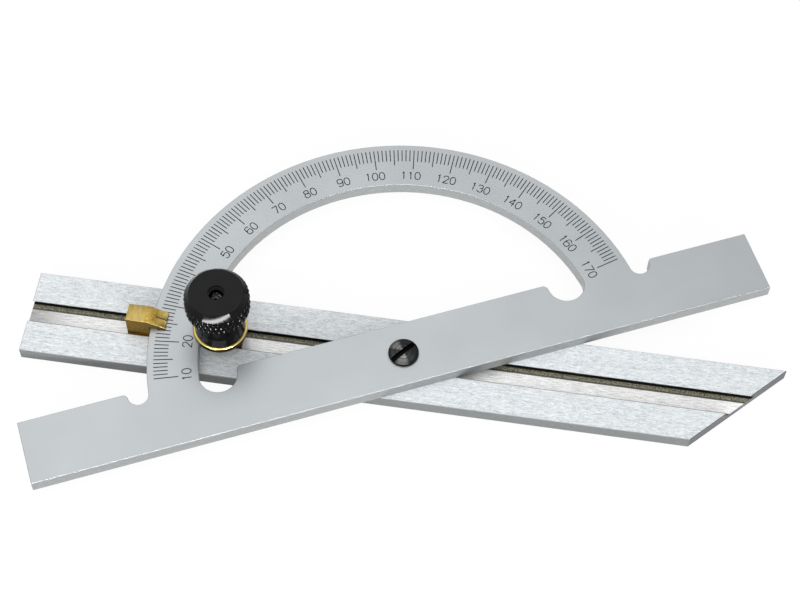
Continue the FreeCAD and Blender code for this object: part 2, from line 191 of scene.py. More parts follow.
def dressed_copy(node, name, width):
    """A copy of a machined solid, its flat faces made whole and its sharp edges broken."""
    deselect()
    nodes[node].select_set(True)
    bpy.context.view_layer.objects.active = nodes[node]
    bpy.ops.object.duplicate()
    obj = bpy.context.object
    obj.parent = None
    for key in list(obj.keys()):
        del obj[key]
    settle(obj, name)
    tidy_mesh(obj)
    bpy.ops.object.mode_set(mode="EDIT")
    bpy.ops.mesh.select_all(action="SELECT")
    bpy.ops.mesh.dissolve_limited(angle_limit=math.radians(1))
    bpy.ops.object.mode_set(mode="OBJECT")
    modify(
        obj, "BEVEL", width=width * MM, segments=2, limit_method="ANGLE",
        angle_limit=math.radians(30), harden_normals=False,
    )
    smooth(obj, 35)
    return obj


# Materials

def srgb(code):
    """A colour written as six hex digits, turned to linear light."""
    levels = [int(code[i:i + 2], 16) / 255 for i in (1, 3, 5)]
    return [v / 12.92 if v <= 0.04045 else ((v + 0.055) / 1.055) ** 2.4 for v in levels] + [1.0]


def grey(level):
    return [level, level, level, 1.0]


def node(tree, kind, inputs=None, stops=None, **settings):
    """Add one node with its settings; each input is a value, or the node or socket that feeds it.

    A node that feeds another gives its first output in use. A Mix node's inputs go by number:
    0 is the factor, 2 and 3 are its numbers, 6 and 7 its colours.
    """
    made = tree.nodes.new("ShaderNode" + kind)
    for key, value in settings.items():
        setattr(made, key, value)
    for key, value in (inputs or {}).items():
        if isinstance(value, bpy.types.Node):
            value = next(socket for socket in value.outputs if socket.enabled)
        if isinstance(value, bpy.types.NodeSocket):
            tree.links.new(value, made.inputs[key])
        else:
            made.inputs[key].default_value = value
    if stops:
        colours = made.color_ramp.elements
        colours[0].position, colours[0].color = stops[0]
        colours[1].position, colours[1].color = stops[-1]
        for position, colour in stops[1:-1]:
            colours.new(position).color = colour
    return made


def new_material(name):
    """An empty material, its tree, and the object's own coordinates and surface direction."""
    material = bpy.data.materials.new(name)
    material.use_nodes = True
    tree = material.node_tree
    tree.nodes.clear()
    coordinates = node(tree, "TexCoord").outputs
    return material, tree, coordinates["Object"], coordinates["Normal"]


def assign(obj, material):
    obj.data.materials.clear()
    obj.data.materials.append(material)


def not_level(tree, facing):
    """A mask of the broken edges above and below. It takes in the walls, coloured later."""
    flat = node(tree, "Math", {0: facing["Z"]}, operation="ABSOLUTE")
    return node(tree, "MapRange", {
        "Value": flat, "From Min": 0.8, "From Max": 0.95, "To Min": 1.0, "To Max": 0.0,
    })


def clamp_distance(tree, place):
    """How far a point is from the clamp's axis."""
    centred = node(tree, "Mapping", {
        "Vector": place, "Location": (-CLAMP_X * MM, 0, 0), "Scale": (1, 1, 0),
    })
    return node(tree, "VectorMath", {0: centred}, operation="LENGTH")


def ground_steel():
    """Bright mild steel, surface ground lengthwise.

    Fine crisp streaks run along the rail and scatter light across it. The groove's floor is milled
    and rubbed shiny, with painted shade just inside its square end, along its sides and, black, in
    its two corners.
    """
    material, tree, place, normal = new_material("ground_brushed_steel")
    spot = node(tree, "SeparateXYZ", {0: place}).outputs
    facing = node(tree, "SeparateXYZ", {0: normal}).outputs

    # Grinding lines are 0.02 mm apart and too fine to show, so they are drawn 0.2 mm apart.
    along = node(tree, "Mapping", {"Vector": place, "Scale": (900, 5200, 5200)})
    lines = node(tree, "TexNoise", {
        "Vector": along, "Scale": 1.0, "Detail": 4.0, "Roughness": 0.75,
    })
    top = node(tree, "ValToRGB", {"Fac": lines}, stops=[
        (0.34, srgb("#AEB3B7")), (0.46, srgb("#D3D8DB")), (0.56, srgb("#DDE2E5")),
        (0.68, srgb("#F2F5F7")),
    ])
    # Broader bands of the same grinding, 0.4 mm apart and 20 mm long.
    broad = node(tree, "Mapping", {"Vector": place, "Scale": (50, 2600, 2600)})
    bands = node(tree, "TexNoise", {"Vector": broad, "Scale": 1.0, "Detail": 3.0})
    band_shade = node(tree, "ValToRGB", {"Fac": bands}, stops=[
        (0.35, grey(0.92)), (0.65, grey(1.0)),
    ])
    top = node(tree, "Mix", {0: 1.0, 6: top, 7: band_shade}, data_type="RGBA",
               blend_type="MULTIPLY")
    # The sparkle of the grit, 0.02 mm across, is drawn 0.2 mm across.
    gritty = node(tree, "Mapping", {"Vector": place, "Scale": (4200, 5200, 5200)})
    grit = node(tree, "TexNoise", {
        "Vector": gritty, "Scale": 1.0, "Detail": 2.0, "Roughness": 0.7,
    })
    sparkle = node(tree, "ValToRGB", {"Fac": grit}, stops=[(0.38, grey(0.82)), (0.58, grey(1.0))])
    top = node(tree, "Mix", {0: 1.0, 6: top, 7: sparkle}, data_type="RGBA", blend_type="MULTIPLY")
    # The broken edges are left as ground and stay duller than the top.
    on_edge = not_level(tree, facing)
    top = node(tree, "Mix", {0: on_edge, 6: top, 7: srgb("#8A8D8E")}, data_type="RGBA")
    # Those of the mitred end are darkest.
    mitred = node(tree, "Math", {0: facing["X"], 1: 0.3}, operation="GREATER_THAN")
    dark_edge = node(tree, "Math", {0: on_edge, 1: mitred}, operation="MULTIPLY")
    top = node(tree, "Mix", {0: dark_edge, 6: top, 7: srgb("#2E3032")}, data_type="RGBA")

    # The groove's floor: cutter lines lengthwise, painted darker just inside the square end as
    # painted shade.
    cut_along = node(tree, "Mapping", {"Vector": place, "Scale": (420, 6500, 6500)})
    cutter = node(tree, "TexNoise", {
        "Vector": cut_along, "Scale": 1.0, "Detail": 4.0, "Roughness": 0.75,
    })
    floor = node(tree, "ValToRGB", {"Fac": cutter}, stops=[
        (0.38, srgb("#C2C3C3")), (0.5, srgb("#F2F2F1")), (0.6, srgb("#FDFDFC")),
    ])
    # Painted shade: the floor's colour is darkened over its first 10 mm from the square end.
    painted_shine = node(tree, "MapRange", {
        "Value": spot["X"], "From Min": RAIL_END * MM, "From Max": (RAIL_END + 10) * MM,
        "To Min": 0.45, "To Max": 1.0,
    })
    floor = node(tree, "Mix", {0: 1.0, 6: floor, 7: painted_shine}, data_type="RGBA",
                 blend_type="MULTIPLY")
    floor = node(tree, "Mix", {0: 1.0, 6: floor, 7: sparkle}, data_type="RGBA",
                 blend_type="MULTIPLY")
    # Painted shade: dark olive along both sides of the floor, under the lips, and painted black
    # shadow right in the corners. The lit strip between them lies 0.2 mm off the middle.
    shifted = node(tree, "Math", {0: spot["Y"], 1: 0.2 * MM}, operation="ADD")
    aside = node(tree, "Math", {0: shifted}, operation="ABSOLUTE")
    painted_lip_shade = node(tree, "ValToRGB", {"Fac": grit}, stops=[
        (0.43, srgb("#2C2B23")), (0.55, srgb("#9C9982")),
    ])
    # The painted shade is darkest along its inner edge.
    shade_darkest_inside = node(tree, "MapRange", {
        "Value": aside, "From Min": 1.65 * MM, "From Max": 1.85 * MM,
        "To Min": 0.3, "To Max": 1.0,
    })
    painted_lip_shade = node(tree, "Mix", {0: 1.0, 6: painted_lip_shade, 7: shade_darkest_inside}, data_type="RGBA",
                 blend_type="MULTIPLY")
    in_lip_shade = node(tree, "MapRange", {
        "Value": aside, "From Min": 1.32 * MM, "From Max": 1.37 * MM,
    })
    floor = node(tree, "Mix", {0: in_lip_shade, 6: floor, 7: painted_lip_shade}, data_type="RGBA")
    # Painted shadow: black in the corners under the overhang.
    in_corner_shadow = node(tree, "MapRange", {
        "Value": aside, "From Min": 2.5 * MM, "From Max": 2.6 * MM,
    })
    floor = node(tree, "Mix", {0: in_corner_shadow, 6: floor, 7: srgb("#050504")}, data_type="RGBA")

    # Where each colour lies: the floor, the undercut flanks and the upright walls.
    inside = node(tree, "Math", {0: spot["Z"], 1: 0.5 * MM}, operation="GREATER_THAN")
    low = node(tree, "Math", {0: spot["Z"], 1: (GROOVE_FLOOR + 0.2) * MM}, operation="LESS_THAN")
    level = node(tree, "Math", {0: facing["Z"], 1: 0.7}, operation="GREATER_THAN")
    on_floor = node(tree, "Math", {0: inside, 1: low}, operation="MULTIPLY")
    on_floor = node(tree, "Math", {0: on_floor, 1: level}, operation="MULTIPLY")
    under = node(tree, "Math", {0: facing["Z"], 1: -0.25}, operation="LESS_THAN")
    on_flank = node(tree, "Math", {0: inside, 1: under}, operation="MULTIPLY")
    upright = node(tree, "Math", {0: facing["Z"], 1: 0.0, 2: 0.3}, operation="COMPARE")
    # Painted shade: the upright walls are painted darker than the top, streaked with the grinding
    # lines.
    wall = node(tree, "ValToRGB", {"Fac": lines}, stops=[
        (0.35, srgb("#5F6262")), (0.65, srgb("#6C6F6F")),
    ])
    # The mitred end's wall is coloured darker still.
    wall = node(tree, "Mix", {0: mitred, 6: wall, 7: srgb("#595B5E")}, data_type="RGBA")
    # Painted shade: the undercut flanks under the lips are painted a dark olive.
    flank = node(tree, "ValToRGB", {"Fac": grit}, stops=[
        (0.4, srgb("#2A2A24")), (0.6, srgb("#5C5A4C")),
    ])
    colour = node(tree, "Mix", {0: on_floor, 6: top, 7: floor}, data_type="RGBA")
    colour = node(tree, "Mix", {0: upright, 6: colour, 7: wall}, data_type="RGBA")
    colour = node(tree, "Mix", {0: on_flank, 6: colour, 7: flank}, data_type="RGBA")

    rough = node(tree, "MapRange", {
        "Value": lines, "From Min": 0.3, "From Max": 0.7, "To Min": 0.58, "To Max": 0.46,
    })
    rough = node(tree, "Mix", {0: on_floor, 2: rough, 3: 0.3}, data_type="FLOAT")
    bump = node(tree, "Bump", {"Strength": 0.25, "Distance": 0.01 * MM, "Height": lines})
    across = node(tree, "Tangent", direction_type="RADIAL", axis="X")
    shader = node(tree, "BsdfPrincipled", {
        "Base Color": colour, "Metallic": 0.15, "Roughness": rough, "Normal": bump,
        "Anisotropic": 0.7, "Tangent": across,
    })
    node(tree, "OutputMaterial", {"Surface": shader})
    return material


def satin_chrome():
    """Steel, bead blasted and chrome plated: an even, glare-free silver with a very fine grain."""
    material, tree, place, normal = new_material("satin_chrome_plate")
    # The blasted grain is about 0.05 mm and too fine to show, so it is drawn 0.2 mm across.
    grain = node(tree, "TexNoise", {
        "Vector": place, "Scale": 5000.0, "Detail": 2.0, "Roughness": 0.5,
    })
    cloud = node(tree, "TexNoise", {"Vector": place, "Scale": 70.0, "Detail": 2.0})
    tone = node(tree, "ValToRGB", {"Fac": cloud}, stops=[
        (0.3, srgb("#A4A8AA")), (0.7, srgb("#A9ADAF")),
    ])
    fine = node(tree, "ValToRGB", {"Fac": grain}, stops=[(0.3, grey(0.95)), (0.7, grey(1.0))])
    tone = node(tree, "Mix", {0: 1.0, 6: tone, 7: fine}, data_type="RGBA", blend_type="MULTIPLY")
    # The walls are ground before plating, which leaves them a more neutral grey and streaked.
    thin = node(tree, "Mapping", {"Vector": place, "Scale": (900, 900, 6000)})
    streaks = node(tree, "TexNoise", {"Vector": thin, "Scale": 1.0, "Detail": 3.0})
    wall = node(tree, "ValToRGB", {"Fac": streaks}, stops=[
        (0.35, srgb("#A2A5A5")), (0.65, srgb("#B2B5B5")),
    ])
    facing = node(tree, "SeparateXYZ", {0: normal}).outputs
    # The broken edge is blasted harder, which leaves it a little duller than the face.
    on_edge = not_level(tree, facing)
    tone = node(tree, "Mix", {0: on_edge, 6: tone, 7: srgb("#9A9D9E")}, data_type="RGBA")
    upright = node(tree, "Math", {0: facing["Z"], 1: 0.0, 2: 0.4}, operation="COMPARE")
    colour = node(tree, "Mix", {0: upright, 6: tone, 7: wall}, data_type="RGBA")
    rough = node(tree, "MapRange", {
        "Value": grain, "From Min": 0.3, "From Max": 0.7, "To Min": 0.4, "To Max": 0.48,
    })
    bump = node(tree, "Bump", {"Strength": 0.25, "Distance": 0.006 * MM, "Height": grain})
    shader = node(tree, "BsdfPrincipled", {
        "Base Color": colour, "Metallic": 1.0, "Roughness": rough, "Normal": bump,
    })
    node(tree, "OutputMaterial", {"Surface": shader})
    return material


def mark_paint():
    """Black enamel wiped into engraving: matt, a little uneven in depth of colour."""
    material, tree, place, _ = new_material("black_filled_engraving")
    uneven = node(tree, "TexNoise", {"Vector": place, "Scale": 900.0, "Detail": 3.0})
    colour = node(tree, "ValToRGB", {"Fac": uneven}, stops=[
        (0.3, srgb("#060607")), (0.7, srgb("#151517")),
    ])
    shader = node(tree, "BsdfPrincipled", {"Base Color": colour, "Roughness": 0.7, "IOR": 1.3})
    node(tree, "OutputMaterial", {"Surface": shader})
    return material


def milled_brass():
    """Free-cutting brass, milled and unpolished.

    It is a dull yellow with cutter streaks and a worn patch, with painted shade on its walls, foot
    and hub and painted light on its lip and edges.
    """
    material, tree, place, normal = new_material("milled_brass")
    spot = node(tree, "SeparateXYZ", {0: place}).outputs
    facing = node(tree, "SeparateXYZ", {0: normal}).outputs
    # Cutter lines 0.1 mm apart across the block are drawn 0.25 mm apart so that they show.
    milled = node(tree, "Mapping", {"Vector": place, "Scale": (4000, 700, 2500)})
    lines = node(tree, "TexNoise", {"Vector": milled, "Scale": 1.0, "Detail": 3.0})
    bright = node(tree, "ValToRGB", {"Fac": lines}, stops=[
        (0.35, srgb("#9C874B")), (0.65, srgb("#AE995E")),
    ])
    speckle = node(tree, "TexNoise", {
        "Vector": place, "Scale": 3400.0, "Detail": 5.0, "Roughness": 0.75,
    })
    # A worn patch crosses the block where the reading lip begins to slope, 48.7 to 51.1 mm out.
    worn = node(tree, "ValToRGB", {"Fac": speckle}, stops=[
        (0.42, srgb("#82651F")), (0.56, srgb("#C5A552")),
    ])
    near = node(tree, "Math", {0: spot["X"], 1: -49.9 * MM, 2: 1.2 * MM}, operation="COMPARE")
    patch = node(tree, "Math", {0: near, 1: 0.75}, operation="MULTIPLY")
    colour = node(tree, "Mix", {0: patch, 6: bright, 7: worn}, data_type="RGBA")
    # Painted light: the lip is painted lighter towards its tip.
    painted_tip_light = node(tree, "MapRange", {
        "Value": spot["X"], "From Min": -49.0 * MM, "From Max": -48.4 * MM,
        "To Min": 0.0, "To Max": 0.85,
    })
    colour = node(tree, "Mix", {0: painted_tip_light, 6: colour, 7: srgb("#C8AE5E")}, data_type="RGBA")
    # Painted highlight: the bevelled edges are painted bright.
    on_edge = node(tree, "Math", {0: facing["Z"], 1: 0.68, 2: 0.18}, operation="COMPARE")
    colour = node(tree, "Mix", {0: on_edge, 6: colour, 7: srgb("#D9BE74")}, data_type="RGBA")
    # Painted shade: the upright walls are painted a darker brown, mottled.
    wall = node(tree, "ValToRGB", {"Fac": speckle}, stops=[
        (0.38, srgb("#654B1D")), (0.62, srgb("#8A7036")),
    ])
    upright = node(tree, "Math", {0: facing["Z"], 1: 0.0, 2: 0.4}, operation="COMPARE")
    colour = node(tree, "Mix", {0: upright, 6: colour, 7: wall}, data_type="RGBA")
    # Painted shade: the foot down in the groove is painted a dark orange brown.
    painted_groove_shade = node(tree, "MapRange", {
        "Value": spot["Z"], "From Min": 2.9 * MM, "From Max": 3.3 * MM,
        "To Min": 1.0, "To Max": 0.0,
    })
    colour = node(tree, "Mix", {0: painted_groove_shade, 6: colour, 7: srgb("#573F09")}, data_type="RGBA")
    # Painted shade: the hub under the washer is painted dark brown.
    hub = node(tree, "Math", {0: spot["X"], 1: -44.0 * MM}, operation="GREATER_THAN")
    colour = node(tree, "Mix", {0: hub, 6: colour, 7: srgb("#4A3A1C")}, data_type="RGBA")
    # The index line is engraved in the lip's upper face and filled dark.
    on_line = node(tree, "Math", {0: spot["Y"], 1: 0.0, 2: 0.1 * MM}, operation="COMPARE")
    on_lip = node(tree, "Math", {0: spot["X"], 1: -49.1 * MM}, operation="GREATER_THAN")
    above = node(tree, "Math", {0: spot["Z"], 1: 6.05 * MM}, operation="GREATER_THAN")
    index = node(tree, "Math", {0: on_line, 1: on_lip}, operation="MULTIPLY")
    index = node(tree, "Math", {0: index, 1: above}, operation="MULTIPLY")
    colour = node(tree, "Mix", {0: index, 6: colour, 7: srgb("#3A2A10")}, data_type="RGBA")
    bump = node(tree, "Bump", {"Strength": 0.4, "Distance": 0.02 * MM, "Height": speckle})
    shader = node(tree, "BsdfPrincipled", {
        "Base Color": colour, "Metallic": 1.0, "Roughness": 0.4, "Normal": bump,
    })
    node(tree, "OutputMaterial", {"Surface": shader})
    return material


def turned_brass():
    """Brass turned bright on a lathe: fine rings round the clamp's axis and a clean yellow."""
    material, tree, place, normal = new_material("turned_brass")
    reach = clamp_distance(tree, place)
    # Tool rings 0.05 mm apart are too fine to show, so they are drawn 0.25 mm apart.
    spread = node(tree, "Math", {0: reach, 1: 4000.0}, operation="MULTIPLY")
    rings = node(tree, "TexNoise", {"W": spread, "Scale": 1.0, "Detail": 2.0},
                 noise_dimensions="1D")
    colour = node(tree, "ValToRGB", {"Fac": rings}, stops=[
        (0.3, srgb("#B89C4A")), (0.7, srgb("#D4BE7A")),
    ])
    # Only the face and its broken edge stay bright; the rim below is painted dark brown, a painted
    # reflection of the shaded rail beneath.
    facing = node(tree, "SeparateXYZ", {0: normal}).outputs
    painted_dark_rim = node(tree, "Math", {0: facing["Z"], 1: 0.3}, operation="LESS_THAN")
    colour = node(tree, "Mix", {0: painted_dark_rim, 6: colour, 7: srgb("#3A2E16")}, data_type="RGBA")
    bump = node(tree, "Bump", {"Strength": 0.4, "Distance": 0.01 * MM, "Height": rings})
    shader = node(tree, "BsdfPrincipled", {
        "Base Color": colour, "Metallic": 1.0, "Roughness": 0.3, "Normal": bump,
    })
    node(tree, "OutputMaterial", {"Surface": shader})
    return material


def black_plate():
    """Steel with a glossy black plated finish, as on a clamp knob: deep black, crisp highlights."""
    material, tree, place, normal = new_material("black_plated_steel")
    smudge = node(tree, "TexNoise", {"Vector": place, "Scale": 260.0, "Detail": 3.0})
    colour = node(tree, "ValToRGB", {"Fac": smudge}, stops=[
        (0.35, srgb("#050505")), (0.65, srgb("#0A0A0B")),
    ])
    # Painted glints: the knurl's crests are painted bright steel grey, more in some places than in
    # others.
    reach = clamp_distance(tree, place)
    glint_noise = node(tree, "TexNoise", {"Vector": place, "Scale": 900.0, "Detail": 2.0})
    glint_reach = node(tree, "MapRange", {
        "Value": glint_noise, "From Min": 0.35, "From Max": 0.65,
        "To Min": KNOB_RADIUS * MM, "To Max": (KNOB_RADIUS - 0.07) * MM,
    })
    crest = node(tree, "Math", {0: reach, 1: glint_reach}, operation="GREATER_THAN")
    colour = node(tree, "Mix", {0: crest, 6: colour, 7: srgb("#B9BBBB")}, data_type="RGBA")
    rough = node(tree, "MapRange", {
        "Value": smudge, "From Min": 0.3, "From Max": 0.7, "To Min": 0.05, "To Max": 0.09,
    })
    # Top, chamfer and collar are polished. The upright walls are duller and a deeper black.
    facing = node(tree, "SeparateXYZ", {0: normal}).outputs
    gloss = node(tree, "MapRange", {
        "Value": facing["Z"], "From Min": 0.25, "From Max": 0.5, "To Min": 1.1, "To Max": 1.22,
    })
    spot = node(tree, "SeparateXYZ", {0: place}).outputs
    collar = node(tree, "Math", {0: spot["Z"], 1: 9.2 * MM}, operation="LESS_THAN")
    gloss = node(tree, "Mix", {0: collar, 2: gloss, 3: 1.28}, data_type="FLOAT")
    shader = node(tree, "BsdfPrincipled", {
        "Base Color": colour, "Roughness": rough, "IOR": gloss,
    })
    node(tree, "OutputMaterial", {"Surface": shader})
    return material


def black_oxide():
    """Turned steel with an oiled black oxide.

    Two wedges that run out from the middle are painted greyer: painted reflections off the lathe
    rings.
    """
    material, tree, place, normal = new_material("oiled_black_oxide_steel")
    flat = node(tree, "Mapping", {"Vector": place, "Scale": (1, 1, 0)})
    reach = node(tree, "VectorMath", {0: flat}, operation="LENGTH")
    # Lathe rings 0.08 mm apart are too fine to show, so they are drawn 0.3 mm apart.
    spread = node(tree, "Math", {0: reach, 1: 3300.0}, operation="MULTIPLY")
    rings = node(tree, "TexNoise", {"W": spread, "Scale": 1.0, "Detail": 2.0},
                 noise_dimensions="1D")
    black = node(tree, "ValToRGB", {"Fac": rings}, stops=[
        (0.35, srgb("#1C1D1D")), (0.65, srgb("#343636")),
    ])
    painted_shine = node(tree, "ValToRGB", {"Fac": rings}, stops=[
        (0.35, srgb("#3C3C3B")), (0.65, srgb("#70706D")),
    ])
    # Painted reflection: two wedges from the middle take the lighter grey.
    way = node(tree, "VectorMath", {0: flat}, operation="NORMALIZE")
    first = node(tree, "VectorMath", {0: way, 1: (-0.82, 0.57, 0.0)}, operation="DOT_PRODUCT")
    second = node(tree, "VectorMath", {0: way, 1: (0.05, -1.0, 0.0)}, operation="DOT_PRODUCT")
    nearer = node(tree, "Math", {0: first, 1: second}, operation="MAXIMUM")
    wedge = node(tree, "MapRange", {"Value": nearer, "From Min": 0.86, "From Max": 0.96})
    colour = node(tree, "Mix", {0: wedge, 6: black, 7: painted_shine}, data_type="RGBA")
    # Painted shade: the slot and the rim are painted a dull black.
    height = node(tree, "SeparateXYZ", {0: place}).outputs["Z"]
    upward = node(tree, "SeparateXYZ", {0: normal}).outputs["Z"]
    low = node(tree, "Math", {0: height, 1: 6.33 * MM}, operation="LESS_THAN")
    steep = node(tree, "Math", {0: upward, 1: 0.7}, operation="LESS_THAN")
    painted_slot_shade = node(tree, "Math", {0: low, 1: steep}, operation="MAXIMUM")
    colour = node(tree, "Mix", {0: painted_slot_shade, 6: colour, 7: srgb("#080808")}, data_type="RGBA")
    around = node(tree, "Tangent", direction_type="RADIAL", axis="Z")
    bump = node(tree, "Bump", {"Strength": 0.2, "Distance": 0.01 * MM, "Height": rings})
    shader = node(tree, "BsdfPrincipled", {
        "Base Color": colour, "Metallic": 1.0, "Roughness": 0.2, "Normal": bump,
        "Anisotropic": 0.5, "Anisotropic Rotation": 0.25, "Tangent": around,
    })
    node(tree, "OutputMaterial", {"Surface": shader})
    return material


def dark_thread():
    """Threaded steel with a dry black oxide, near black, with grey flecks where the crests wear."""
    material, tree, place, _ = new_material("black_oxide_thread")
    flecks = node(tree, "TexNoise", {
        "Vector": place, "Scale": 3000.0, "Detail": 4.0, "Roughness": 0.7,
    })
    colour = node(tree, "ValToRGB", {"Fac": flecks}, stops=[
        (0.52, srgb("#0C0C0C")), (0.66, srgb("#8A8A88")),
    ])
    bump = node(tree, "Bump", {"Strength": 0.5, "Distance": 0.02 * MM, "Height": flecks})
    shader = node(tree, "BsdfPrincipled", {
        "Base Color": colour, "Metallic": 1.0, "Roughness": 0.4, "Normal": bump,
    })
    node(tree, "OutputMaterial", {"Surface": shader})
    return material


def machined_steel():
    """Plain machined steel, oiled: mid grey with short tool marks."""
    material, tree, place, _ = new_material("machined_steel")
    # Tool marks 0.05 mm apart are too fine to show, so they are drawn 0.3 mm apart.
    short = node(tree, "Mapping", {"Vector": place, "Scale": (3300, 500, 3300)})
    marks = node(tree, "TexNoise", {"Vector": short, "Scale": 1.0, "Detail": 3.0})
    colour = node(tree, "ValToRGB", {"Fac": marks}, stops=[
        (0.3, srgb("#8B8C8C")), (0.7, srgb("#B2B3B3")),
    ])
    bump = node(tree, "Bump", {"Strength": 0.3, "Distance": 0.01 * MM, "Height": marks})
    shader = node(tree, "BsdfPrincipled", {
        "Base Color": colour, "Metallic": 1.0, "Roughness": 0.36, "Normal": bump,
    })
    node(tree, "OutputMaterial", {"Surface": shader})
    return material


# Pieces

def knurled_blank():
    """A closed blank whose wall carries pointed diamonds, 40 round and 1.3 mm between rows."""
    columns, rows, cell, bottom = 40, 3, 2.6, 12.55
    valley, rise, skirt = KNOB_RADIUS - 0.24, 0.25, 7
    deselect()
    bpy.ops.mesh.primitive_circle_add(
        vertices=columns, radius=valley * MM, fill_type="NOTHING",
        location=(CLAMP_X * MM, 0, bottom * MM),
    )
    obj = bpy.context.object
    bpy.ops.object.mode_set(mode="EDIT")
    bpy.ops.mesh.select_mode(type="EDGE")
    bpy.ops.mesh.select_all(action="SELECT")
    for _ in range(rows):
        bpy.ops.mesh.extrude_region_move(TRANSFORM_OT_translate={"value": (0, 0, cell * MM)})
    bpy.ops.mesh.select_all(action="SELECT")
    bpy.ops.mesh.normals_make_consistent(inside=False)
    corners = len(bmesh.from_edit_mesh(obj.data).verts)
    bpy.ops.mesh.poke(offset=0)
    pick(obj, "edges", lambda edge: len(edge.link_faces) == 2 and all(
        vert.index < corners for vert in edge.verts
    ))
    bpy.ops.mesh.dissolve_edges(use_verts=False)
    pick(obj, "faces", lambda face: len(face.verts) == 4)
    bpy.ops.mesh.poke(offset=rise * MM)
    # The lower rim is drawn down past the knob's foot, and both ends are closed.
    pick(obj, "edges", lambda edge: len(edge.link_faces) == 1 and edge.verts[0].co.z < 0.1 * MM)
    bpy.ops.mesh.extrude_region_move(TRANSFORM_OT_translate={"value": (0, 0, -skirt * MM)})
    bpy.ops.mesh.edge_face_add()
    pick(obj, "edges", lambda edge: len(edge.link_faces) == 1)
    bpy.ops.mesh.edge_face_add()
    bpy.ops.object.mode_set(mode="OBJECT")
    settle(obj, "knurled_blank")
    tidy_mesh(obj)
    return obj


def make_knob():
    grip = turned("knurled_knob", CLAMP_X, [
        (BORE_RADIUS, KNOB_BOTTOM), (4.92, KNOB_BOTTOM), (5.0, KNOB_BOTTOM + 0.08),
        (4.75, 9.15), (4.66, 9.24), (4.5, 9.25), (4.5, 9.43), (4.8, 9.44), (4.9, 9.53),
        (4.9, 12.15), (4.93, 12.5), (5.03, 12.85), (5.2, 13.21), (5.42, 13.59),
        (5.66, 13.89), (5.76, 14.0), (6.46, 14.59), (6.46, 18.0), (5.34, 19.45),
        (5.3, 19.51), (5.2, KNOB_TOP), (5.1, KNOB_TOP), (1.8, KNOB_TOP), (1.68, KNOB_TOP),
        (1.62, KNOB_TOP - 0.03),
        (BORE_RADIUS, KNOB_TOP - 0.1), (BORE_RADIUS, KNOB_BOTTOM),
    ], steps=120, closed=True)
    cut(grip, knurled_blank(), "INTERSECT")
    tidy_mesh(grip, distance=0.002)
    ridge = thread("ridge", CLAMP_X, BORE_RADIUS, STUD_TOP + 0.3, KNOB_TOP - 0.1)
    join(grip, ridge)
    smooth(grip, 22)
    return grip


def make_stud():
    core = STUD_RADIUS - THREAD_DEPTH
    stud = turned("threaded_stud", CLAMP_X, [
        (core - 0.2, STUD_BOTTOM), (core, STUD_BOTTOM + 0.2), (core, STUD_TOP - 0.3),
        (core - 0.3, STUD_TOP),
    ], steps=48)
    close_ends(stud)
    ridge = thread("ridge", CLAMP_X, core, STUD_BOTTOM + 0.3, STUD_TOP - 0.3)
    join(stud, ridge)
    smooth(stud, 30)
    return stud


def close_ends(obj):
    """Fill the open rings at a turned piece's ends."""
    take(obj)
    bpy.ops.object.mode_set(mode="EDIT")
    bpy.ops.mesh.select_all(action="SELECT")
    bpy.ops.mesh.fill_holes(sides=0)
    bpy.ops.object.mode_set(mode="OBJECT")
    tidy_mesh(obj)


def make_slider():
    """The slider with its pointer, and the round hub that the arc's inner edge runs on."""
    slider = dressed_copy("slider_pointer", "slider_with_pointer", 0.06)
    hub = turned("hub", CLAMP_X, [
        (1.6, 2.6), (2.0, 2.6), (2.0, RAIL_TOP + 0.03), (3.5, RAIL_TOP + 0.03),
        (3.6, RAIL_TOP + 0.13), (3.6, WASHER_BOTTOM - 0.4), (3.5, WASHER_BOTTOM - 0.3),
        (1.6, WASHER_BOTTOM - 0.3), (1.6, 2.6),
    ], steps=96, closed=True)
    cut(slider, hub, "UNION")
    tidy_mesh(slider, distance=0.001)
    smooth(slider, 35)
    return slider


def make_washer():
    washer = turned("brass_washer", CLAMP_X, [
        (BORE_RADIUS, WASHER_BOTTOM), (5.3, WASHER_BOTTOM), (WASHER_RADIUS, WASHER_BOTTOM + 0.1),
        (WASHER_RADIUS, WASHER_TOP - 0.27), (5.37, WASHER_TOP - 0.2), (5.18, WASHER_TOP - 0.02),
        (5.1, WASHER_TOP), (BORE_RADIUS + 0.1, WASHER_TOP), (BORE_RADIUS, WASHER_TOP - 0.1),
        (BORE_RADIUS, WASHER_BOTTOM),
    ], steps=128, closed=True)
    smooth(washer, 25)
    return washer


def make_pivot_screw():
    screw = turned("pivot_screw_head", 0, [
        (1.05, SCREW_BOTTOM), (1.25, SCREW_BOTTOM + 0.2), (1.25, SCREW_SEAT), (2.92, SCREW_SEAT),
        (3.0, SCREW_SEAT + 0.06), (3.0, 6.21), (2.95, 6.31), (2.82, 6.4), (2.5, 6.5),
        (2.0, 6.59), (1.4, 6.65), (0.8, 6.69), (0.3, SCREW_CROWN),
    ], steps=96)
    close_ends(screw)
    cutter_length, cutter_height = 8, 1
    deselect()
    bpy.ops.mesh.primitive_cube_add(
        size=MM, location=(0, 0, (SCREW_CROWN - SLOT_DEPTH + cutter_height / 2) * MM),
        rotation=(0, 0, math.radians(SLOT_ANGLE)), scale=(cutter_length, SLOT_WIDTH, cutter_height),
    )
    cut(screw, settle(bpy.context.object, "slot_cutter"), "DIFFERENCE")
    modify(
        screw, "BEVEL", width=0.05 * MM, segments=2, limit_method="ANGLE",
        angle_limit=math.radians(40), use_clamp_overlap=True,
    )
    tidy_mesh(screw, distance=0.001)
    smooth(screw, 30)
    return screw


